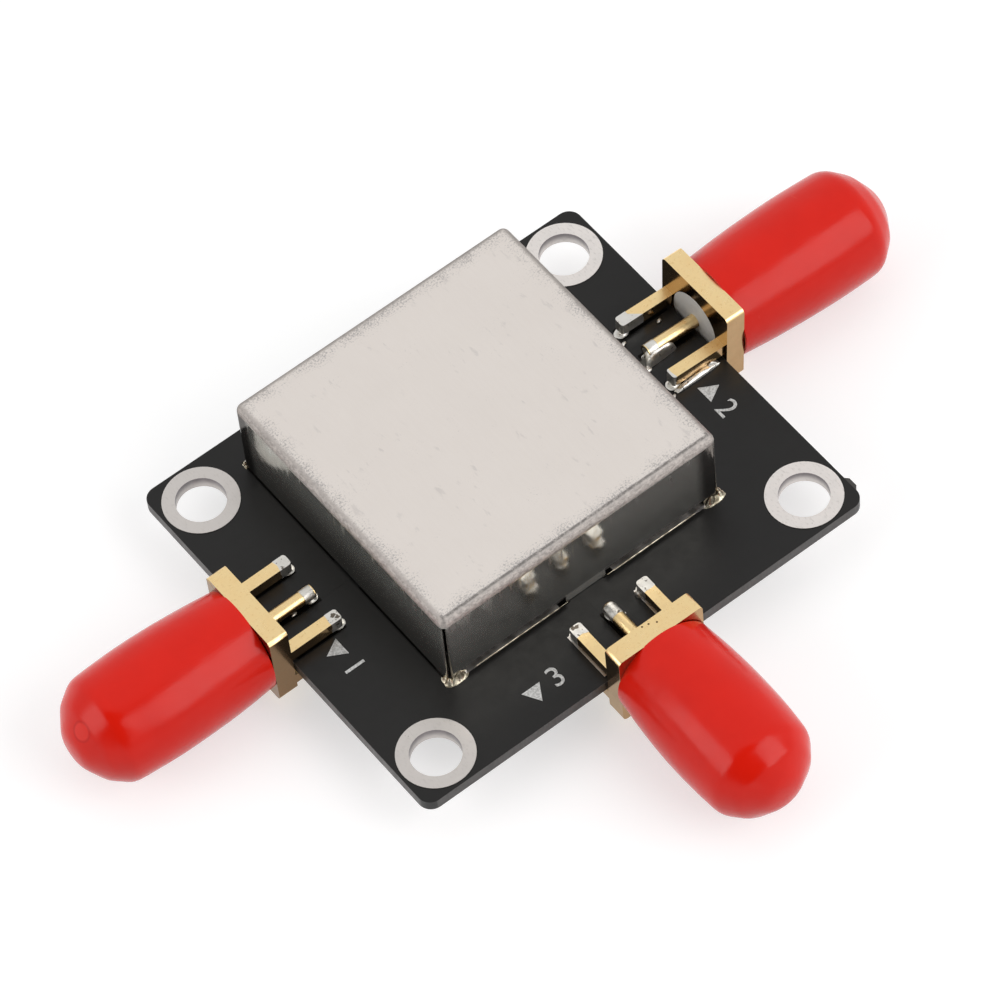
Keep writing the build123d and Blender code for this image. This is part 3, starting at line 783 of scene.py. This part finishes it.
def rounded(points):
    """An outline from (x, radius, fillet) points, each corner with a fillet made an arc."""
    outline = []
    for number, (x, r, fillet) in enumerate(points):
        if fillet == 0:
            outline.append((x, r))
            continue
        here = Vector((x, r))
        to_last = (Vector(points[number - 1][:2]) - here).normalized()
        to_next = (Vector(points[number + 1][:2]) - here).normalized()
        half = to_last.angle(to_next) / 2
        reach = fillet / math.tan(half)
        centre = here + (to_last + to_next).normalized() * fillet / math.sin(half)
        start = here + to_last * reach - centre
        end = here + to_next * reach - centre
        steps = max(2, round(math.degrees(start.angle(end)) / ARC_STEP_DEG))
        for step in range(steps + 1):
            spoke = start.lerp(end, step / steps).normalized() * fillet
            outline.append(tuple(centre + spoke))
    return outline


# Dust caps

def cap_side(length, shoulder):
    """Points of a cap's bellied side: a parabola through its mouth, belly and shoulder."""
    points = []
    belly = CAP_BELLY_SHARE
    for step in range(1, CAP_SIDE_STEPS):
        t = step / CAP_SIDE_STEPS
        from_mouth = CAP_MOUTH_MM * (t - belly) * (t - 1) / belly
        from_belly = CAP_BELLY_MM * t * (1 - t) / (belly * (1 - belly))
        from_shoulder = shoulder * t * (t - belly) / (1 - belly)
        points.append((t * length, from_mouth + from_belly + from_shoulder, 0))
    return points


def cap_outline(length, shoulder):
    """Outside of a cap from its rim to the middle of its tip."""
    side_end = length - CAP_NOSE_MM
    return rounded([
        (-CAP_RIM_REACH_MM, CAP_BORE_MM + CAP_LIP_MM[1], 0),
        (-CAP_RIM_REACH_MM, CAP_MOUTH_MM, CAP_RIM_ROUND_MM),
        *cap_side(side_end, shoulder),
        (side_end, shoulder, CAP_SHOULDER_ROUND_MM),
        (side_end + CAP_CHEEK_SHARE * CAP_NOSE_MM, CAP_CHEEK_MM, CAP_CHEEK_ROUND_MM),
        (length - CAP_TIP_DOME_MM, CAP_TIP_EDGE_MM, CAP_TIP_ROUND_MM),
        (length, 0, 0),
    ])


def cap_bore(length):
    """Inside of a cap from its rim to the end of its bore."""
    tip = CAP_START_MM + length - CAP_WALL_MM
    return [
        (CAP_START_MM - CAP_RIM_REACH_MM + CAP_LIP_MM[0], CAP_BORE_MM),
        (CAP_BORE_END_MM, CAP_BORE_MM),
        (tip, CAP_TIP_MM),
        (tip, 0),
    ]


def dent(form, seed):
    """Makes a cap's side slightly uneven."""
    for vertex in form.verts:
        radius = math.hypot(vertex.co.y, vertex.co.z)
        if radius > CAP_TIP_MM and vertex.co.x > 0.1:
            rough = noise.noise(vertex.co * CAP_DENT_SCALE + Vector((0, 0, seed)))
            depth = CAP_DENT_MM * (0.5 + 0.5 * rough)
            vertex.co.y -= depth * vertex.co.y / radius
            vertex.co.z -= depth * vertex.co.z / radius


def dust_cap(port):
    """A soft cap whose outside leans a little on its straight bore."""
    cap = CAPS[port]
    form = spun(cap_outline(cap["length"], cap["shoulder"]))
    dent(form, cap["length"])
    lean = Matrix.Rotation(math.radians(-cap["lean"]), 4, "Y")
    turn = Matrix.Rotation(math.radians(cap["turn"]), 4, "Z")
    move(form, Matrix.Translation((CAP_START_MM, 0, 0)) @ (lean @ turn))
    add_to(form, spun(cap_bore(cap["length"])))
    rim = [edge for edge in form.edges if len(edge.link_faces) == 1]
    bmesh.ops.bridge_loops(form, edges=rim)
    bmesh.ops.recalc_face_normals(form, faces=form.faces)
    move(form, at_connector(port))
    show(port + "_cap_moulding", form, "red_vinyl", port + "_cap", [port + "_dust_cap"])


# Connector bodies

def thread_radius(x, share):
    """Radius of the thread at a station, with its run-out at the neck and its end chamfer."""
    crest = THREAD_ROOT_MM + share * (BARREL_RADIUS_MM - THREAD_ROOT_MM)
    run_out = THREAD_ROOT_MM + (x - BARREL_START_MM)
    chamfer = BARREL_RADIUS_MM - BARREL_CHAMFER_MM + (BARREL_END_MM - x)
    return min(crest, run_out, chamfer)


def thread():
    """The barrel's outside as one helical strip, ending in flat circles."""
    form = bmesh.new()
    points = len(THREAD_PROFILE)
    turns = math.ceil((BARREL_END_MM - BARREL_START_MM) / THREAD_PITCH_MM) + 2
    rows = []
    for step in range(THREAD_STEPS):
        angle = 2 * math.pi * step / THREAD_STEPS
        row = []
        for number in range(points * turns):
            start, share = THREAD_PROFILE[number % points]
            turn = number // points - 1 + start + step / THREAD_STEPS
            x = min(max(BARREL_START_MM + turn * THREAD_PITCH_MM, BARREL_START_MM), BARREL_END_MM)
            r = thread_radius(x, share)
            row.append(form.verts.new((x, r * math.cos(angle), r * math.sin(angle))))
        rows.append(row)
    for step, row in enumerate(rows):
        wraps = step == THREAD_STEPS - 1
        after = rows[0][points:] if wraps else rows[step + 1]
        for number in range(min(len(row), len(after)) - 1):
            form.faces.new((row[number], row[number + 1], after[number + 1], after[number]))
    bmesh.ops.remove_doubles(form, verts=form.verts, dist=0.001)
    return form


def connector_body(port):
    """A connector's body with rounded edges and a real thread on its barrel."""
    here = at_connector(port)
    form = copy_of(port + "_connector_body")
    move(form, here.inverted())
    outside = []
    for face in form.faces:
        spots = [vertex.co for vertex in face.verts]
        on_barrel = all(spot.x > BARREL_START_MM - 0.01 for spot in spots)
        if on_barrel and all(math.hypot(spot.y, spot.z) > BARREL_INSIDE_MM for spot in spots):
            outside.append(face)
    bmesh.ops.delete(form, geom=outside, context="FACES")
    tips = []
    for edge in form.edges:
        start, end = (vertex.co for vertex in edge.verts)
        if max(start.x, end.x) < LEG_TIP_MM + 0.01 and abs(start.z - end.z) > LEG_HEIGHT_MM / 2:
            tips.append(edge)
    bevel(form, tips, LEG_TIP_ROUND_MM, 3)
    soften(form, BODY_EDGE_MM)
    add_to(form, thread())
    move(form, here)
    show(port + "_body_plated", form, "gold_plate", "board", [port + "_connector_body"])


# Solder

def heap_rise(kind, rho):
    """Share of a heap's height at a share of its reach."""
    if kind == "bell":
        return 0.5 + 0.5 * math.cos(math.pi * rho)
    return math.sqrt(1 - rho ** 2)


def heap(place, half_x, half_y, height, kind="bell", wobble=HEAP_WOBBLE, seed=0.0):
    """A heap of solder standing on the XY plane of a frame: a bell, a dome or a long bar."""
    form = bmesh.new()
    squareness = BAR_SQUARENESS if kind == "bar" else 1.0
    rows = []
    for ring in range(1, HEAP_RINGS + 1):
        rho = ring / HEAP_RINGS
        row = []
        for step in range(HEAP_STEPS):
            angle = 2 * math.pi * step / HEAP_STEPS
            turned = (math.cos(angle), math.sin(angle))
            across = [math.copysign(abs(a) ** squareness, a) for a in turned]
            spot = Vector((*across, 0)) * rho
            grow = 1 + wobble * noise.noise(spot * 1.6 + Vector((seed, 0, 0)))
            lift = 1 + wobble * noise.noise(spot * 2.3 + Vector((0, seed, 3.0)))
            z = height * heap_rise(kind, rho) * lift
            row.append(form.verts.new((spot.x * half_x * grow, spot.y * half_y * grow, z)))
        rows.append(row)
    top = form.verts.new((0, 0, height))
    for step in range(HEAP_STEPS):
        after = (step + 1) % HEAP_STEPS
        form.faces.new((top, rows[0][step], rows[0][after]))
        for inner, outer in zip(rows, rows[1:]):
            form.faces.new((inner[step], outer[step], outer[after], inner[after]))
    form.faces.new(list(reversed(rows[-1])))
    if kind == "bar":
        crumple(form, seed)
    bmesh.ops.recalc_face_normals(form, faces=form.faces)
    move(form, place)
    return form


def crumple(form, seed):
    """Wrinkles what stands clear of the pads, in the same way on each run."""
    noise.seed_set(CRUMPLE_START)
    for vertex in form.verts:
        if vertex.co.z > 0.05:
            spot = vertex.co * 2.6 + Vector((seed, 0, 0))
            vertex.co += BAR_CRUMPLE_MM * noise.noise_vector(spot)


def coat(low, high, slant, seed):
    """A thin coat of solder round a leg's tip: a box with an uneven, perhaps slanted, border."""
    form = bmesh.new()
    bmesh.ops.create_cube(form, size=1.0)
    bmesh.ops.subdivide_edges(form, edges=form.edges, cuts=COAT_CUTS, use_grid_fill=True)
    middle = (low[1] + high[1]) / 2
    half = (high[1] - low[1]) / 2
    for vertex in form.verts:
        unit = vertex.co.copy()
        share = [(unit.x + 0.5) ** COAT_GATHER, unit.y + 0.5, unit.z + 0.5]
        spot = Vector([a + t * (b - a) for a, b, t in zip(low, high, share)])
        short = max(0.0, LEG_TIP_ROUND_MM - (spot.x - low[0]))
        inset = LEG_TIP_ROUND_MM - math.sqrt(max(0.0, LEG_TIP_ROUND_MM ** 2 - short ** 2))
        spot.y = middle + (spot.y - middle) * (half - inset) / half
        if unit.x > 0.49:
            ragged = COAT_RAGGED_MM * noise.noise(spot * 2.2 + Vector((seed, 0, 0)))
            spot.x += slant * unit.y + ragged
        else:
            spot += unit * COAT_WRINKLE_MM * noise.noise(spot * 4.0 + Vector((0, seed, 0)))
        vertex.co = spot
    return form


def leg_coat(port, y, length, slant, seed):
    """Tinning on the tip of an upper leg."""
    half = LEG_WIDTH_MM / 2 + COAT_MM
    low = (LEG_TIP_MM - COAT_END_MM, y - half, LEG_TOP_MM - LEG_HEIGHT_MM - COAT_MM)
    high = (LEG_TIP_MM + length, y + half, LEG_TOP_MM + COAT_TOP_MM)
    form = coat(low, high, slant, seed)
    move(form, at_connector(port))
    return form


def pin_coat(port, length, bulge):
    """Solder drawn round the tip of the centre pin, with a rounded end."""
    r = PIN_RADIUS_MM + PIN_COAT_MM
    start = PIN_TIP_MM + length
    outline = [(start, PIN_RADIUS_MM - PIN_COAT_MM), (start - PIN_COAT_EDGE_MM, r)]
    for step in range(PIN_END_STEPS + 1):
        angle = math.pi / 2 * step / PIN_END_STEPS
        outline.append((PIN_TIP_MM + PIN_END_MM - bulge * math.sin(angle), r * math.cos(angle)))
    form = spun(outline, PIN_SPIN_STEPS)
    for vertex in form.verts:
        if vertex.co.x < start - 0.1:
            rough = COAT_WRINKLE_MM * noise.noise(vertex.co * 3.0)
            vertex.co += vertex.co.normalized() * rough
    move(form, at_connector(port))
    return form


def on_board(port, x, y, turn_deg):
    """Frame on a port's pads, for a heap."""
    turn = Matrix.Rotation(math.radians(turn_deg), 4, "Z")
    return at_edge(port) @ Matrix.Translation((x, y, COPPER_TOP_MM)) @ turn


def under_board(port, x, y):
    """Frame on a port's underside pads, upside down."""
    upside_down = Matrix.Rotation(math.pi, 4, "X")
    return at_edge(port) @ Matrix.Translation((x, y, COPPER_UNDER_MM)) @ upside_down


def port_solder(port):
    """Solder of one port: tinned tips, heaps on the pads and joints of the lower legs."""
    coats, heaps, pin = PORT_SOLDER[port]
    form = pin_coat(port, *pin)
    for number, (y, length, slant) in enumerate(coats):
        add_to(form, leg_coat(port, y, length, slant, number + 1.0))
    for x, y, turn, half_x, half_y, height, kind, seed in heaps:
        place = on_board(port, x, y, turn)
        add_to(form, heap(place, half_x, half_y, height, kind, HEAP_WOBBLE, seed))
    for y in (-LEG_Y_MM, LEG_Y_MM):
        for x in LOWER_HEAP_X_MM:
            add_to(form, heap(under_board(port, x, y), *LOWER_HEAP_MM, seed=x + y))
    show(port + "_solder_skin", form, "solder", "board", [port + "_solder_joints"])


def can_solder():
    """Solder at the can's corners, drawn out along both walls, and beads along the front."""
    form = bmesh.new()
    corners = [(x, y) for x in (0, 1) for y in (0, 1)]
    for number, ((x, y), share) in enumerate(zip(corners, CAN_CORNER_SHARES)):
        corner_x = (CAN_LOW_MM[0], CAN_HIGH_MM[0])[x]
        corner_y = (CAN_LOW_MM[1], CAN_HIGH_MM[1])[y]
        along_x = 1 - 2 * x
        along_y = 1 - 2 * y
        for step, (out_x, out_y, half_x, half_y, height, kind) in enumerate(CAN_CORNER_HEAPS):
            spot = (corner_x + along_x * out_x, corner_y + along_y * out_y, BOARD_TOP_MM)
            size = (half_x * share, half_y * share, height * share)
            seed = number + step * 0.7
            add_to(form, heap(Matrix.Translation(spot), *size, kind, CAN_HEAP_WOBBLE, seed))
    for middle, half in CAN_BEADS_MM:
        place = Matrix.Translation((middle, CAN_LOW_MM[1] - CAN_BEAD_MM[0], COPPER_TOP_MM))
        add_to(form, heap(place, half, *CAN_BEAD_MM, "dome", BEAD_WOBBLE, middle))
    show("can_solder_skin", form, "solder", "board", ["shield_can_solder"])


def round_corners(form, radius):
    """Rounds the can's upright corners, by making circles of the squares round their centres."""
    for axis, limits in enumerate(zip(CAN_LOW_MM, CAN_HIGH_MM)):
        across = Vector((axis == 0, axis == 1, 0))
        for limit, inward in zip(limits, (1, -1)):
            for share in (1.0, 0.75, 0.5, 0.25):
                everything = form.verts[:] + form.edges[:] + form.faces[:]
                bmesh.ops.bisect_plane(form, geom=everything, dist=0.0001, plane_no=across,
                                       plane_co=across * (limit + inward * share * radius))
    for vertex in form.verts:
        centre = vertex.co.copy()
        for axis in (0, 1):
            low = CAN_LOW_MM[axis] + radius
            high = CAN_HIGH_MM[axis] - radius
            centre[axis] = min(max(vertex.co[axis], low), high)
        away = vertex.co - centre
        if min(abs(away.x), abs(away.y)) > 0.001:
            vertex.co = centre + away * max(abs(away.x), abs(away.y)) / away.length


def shield_can():
    """The folded can with its edges a little rounded, more so beside the open seams."""
    form = copy_of("shield_can")
    seams = []
    for edge in form.edges:
        start, end = (vertex.co for vertex in edge.verts)
        level = math.hypot(start.x - end.x, start.y - end.y)
        upright = level < 0.01 and abs(start.z - end.z) > CAN_TOP_MM / 2
        low_gap = min(abs(start.x - CAN_LOW_MM[0]), abs(start.y - CAN_LOW_MM[1]))
        high_gap = min(abs(start.x - CAN_HIGH_MM[0]), abs(start.y - CAN_HIGH_MM[1]))
        if upright and min(low_gap, high_gap) < 0.01:
            seams.append(edge)
    bevel(form, seams, CAN_SEAM_EDGE_MM, 3)
    soften(form, CAN_EDGE_MM)
    round_corners(form, CAN_CORNER_MM)
    show("can_sheet", form, "tinplate", "board", ["shield_can"])


def signal_traces():
    """The ports' traces under the mask, hardly raised above the board."""
    for port in PORTS:
        form = copy_of(port + "_signal_trace")
        for vertex in form.verts:
            vertex.co.z = BOARD_TOP_MM + min(vertex.co.z - BOARD_TOP_MM, TRACE_SHOWS_MM)
        show(port + "_trace_under_mask", form, "board_mask", "board", [port + "_signal_trace"])


# Printed marks

def mark(name, number, place, turn_deg, points_up):
    """A plain number with a small arrowhead beside it that points at the connector."""
    text = bpy.data.curves.new(name, "FONT")
    text.body = number
    text.size = MARK_HEIGHT_MM * MARK_FONT_SHARE
    text.align_x = "CENTER"
    text.align_y = "CENTER"
    writing = bpy.data.objects.new(name + "_text", text)
    mesh = bpy.data.meshes.new_from_object(writing)
    bpy.data.objects.remove(writing)
    form = bmesh.new()
    form.from_mesh(mesh)
    aside = Vector((MARK_HEIGHT_MM * MARK_APART_SHARE, 0, 0))
    bmesh.ops.translate(form, verts=form.verts, vec=aside)
    radius = MARK_HEIGHT_MM * MARK_ARROW_SHARE
    head = bmesh.ops.create_circle(form, cap_ends=True, segments=3, radius=radius)["verts"]
    turn = Matrix.Rotation(0 if points_up else math.pi, 4, "Z")
    bmesh.ops.transform(form, verts=head, matrix=Matrix.Translation(-aside) @ turn)
    raised = bmesh.ops.extrude_face_region(form, geom=form.faces[:])["geom"]
    top = [item for item in raised if isinstance(item, bmesh.types.BMVert)]
    bmesh.ops.translate(form, verts=top, vec=(0, 0, MARK_THICKNESS_MM))
    lay = Matrix.Rotation(math.radians(turn_deg), 4, "Z")
    move(form, Matrix.Translation((*place, BOARD_TOP_MM)) @ lay)
    bmesh.ops.recalc_face_normals(form, faces=form.faces)
    show(name, form, "white_ink", "board")


# Camera, floor and light

def camera_axes():
    """The camera's right, up and backward directions."""
    azimuth = math.radians(CAMERA_AZIMUTH_DEG)
    elevation = math.radians(CAMERA_ELEVATION_DEG)
    back = Vector((
        math.sin(azimuth) * math.cos(elevation),
        -math.cos(azimuth) * math.cos(elevation),
        math.sin(elevation),
    ))
    level_right = (-back).cross(Vector((0, 0, 1))).normalized()
    level_up = level_right.cross(-back)
    roll = math.radians(CAMERA_ROLL_DEG)
    right = level_right * math.cos(roll) + level_up * math.sin(roll)
    up = level_up * math.cos(roll) - level_right * math.sin(roll)
    return right, up, back


def place_camera():
    """The photograph's camera."""
    right, up, back = camera_axes()
    lens = bpy.data.cameras.new("camera")
    lens.sensor_width = SENSOR_MM
    lens.lens = FOCAL_PX / IMAGE_PX * SENSOR_MM
    lens.clip_start = 0.01
    lens.clip_end = 10.0
    camera = bpy.data.objects.new("camera", lens)
    at = right * CAMERA_RIGHT_MM + up * CAMERA_UP_MM + back * CAMERA_DISTANCE_MM
    at += Vector((0, 0, BOARD_TOP_MM))
    turn = Matrix((right, up, back)).transposed()
    camera.matrix_world = Matrix.Translation(at * MM) @ turn.to_4x4()
    bpy.context.scene.collection.objects.link(camera)
    bpy.context.scene.camera = camera


def heading(azimuth_deg, elevation_deg):
    """A direction from the part: azimuth from -Y towards +X, and elevation above the board."""
    azimuth = math.radians(azimuth_deg)
    elevation = math.radians(elevation_deg)
    level = math.cos(elevation)
    return Vector((math.sin(azimuth) * level, -math.cos(azimuth) * level, math.sin(elevation)))


def soft_light(name, towards, distance_mm, width_mm, height_mm, brightness):
    """A rectangular soft light in the given direction from the part, facing it."""
    lamp = bpy.data.lights.new(name, "AREA")
    lamp.shape = "RECTANGLE"
    lamp.size = width_mm * MM
    lamp.size_y = height_mm * MM
    lamp.energy = brightness * math.pi * lamp.size * lamp.size_y
    light = bpy.data.objects.new(name, lamp)
    light.location = towards * distance_mm * MM
    light.rotation_euler = towards.to_track_quat("Z", "Y").to_euler()
    bpy.context.scene.collection.objects.link(light)


def floor_paper():
    """Matt paper that glows only for camera, glossy and transmission rays, so that it looks
    white and keeps the part's shadow without lighting the part."""
    f = Finish("floor_paper", (FLOOR_GREY, FLOOR_GREY, FLOOR_GREY), 0.9)
    f.set("Specular IOR Level", 0.0)
    ray = f.add("ShaderNodeLightPath").outputs
    seen = f.math("MAXIMUM", ray["Is Camera Ray"], ray["Is Glossy Ray"])
    seen = f.math("MAXIMUM", seen, ray["Is Transmission Ray"])
    f.set("Emission Color", (1, 1, 1, 1))
    f.set("Emission Strength", f.times(seen, FLOOR_GREY))
    return f.material


def lay_floor():
    """A white floor that shows the part's soft shadow."""
    low = cad_box[0][2]
    mesh = bpy.data.meshes.new("floor")
    form = bmesh.new()
    bmesh.ops.create_grid(form, x_segments=1, y_segments=1, size=FLOOR_HALF_M)
    bmesh.ops.translate(form, verts=form.verts, vec=(0, 0, low))
    form.to_mesh(mesh)
    form.free()
    mesh.materials.append(floor_paper())
    floor = bpy.data.objects.new("floor", mesh)
    bpy.context.scene.collection.objects.link(floor)


def light_world():
    """An even white tent with one dark gap, through which the camera looks."""
    world = bpy.data.worlds.new("tent")
    bpy.context.scene.world = world
    world.use_nodes = True
    tree = world.node_tree
    towards = tree.nodes.new("ShaderNodeTexCoord").outputs["Generated"]
    facing = tree.nodes.new("ShaderNodeVectorMath")
    facing.operation = "DOT_PRODUCT"
    tree.links.new(towards, facing.inputs[0])
    facing.inputs[1].default_value = heading(*TENT_GAP_HEADING_DEG)
    fade = tree.nodes.new("ShaderNodeMapRange")
    fade.interpolation_type = "SMOOTHSTEP"
    outer, inner = (math.cos(math.radians(angle)) for angle in TENT_GAP_DEG)
    limits = (outer, inner, TENT_LEVEL, TENT_GAP_SHARE * TENT_LEVEL)
    for socket, value in zip(fade.inputs[1:5], limits):
        socket.default_value = value
    tree.links.new(facing.outputs["Value"], fade.inputs[0])
    background = tree.nodes["Background"]
    background.inputs["Color"].default_value = (1, 1, 1, 1)
    tree.links.new(fade.outputs[0], background.inputs["Strength"])


dress_nodes()
for port_name in PORTS:
    dust_cap(port_name)
    connector_body(port_name)
for port_name in PORTS:
    port_solder(port_name)
can_solder()
shield_can()
signal_traces()
for entry in MARKS:
    mark(*entry)
place_camera()
lay_floor()
light_world()
for name, azimuth, elevation, *rest in SOFTBOXES:
    soft_light(name, heading(azimuth, elevation), *rest)
bpy.context.scene.view_settings.view_transform = "Standard"
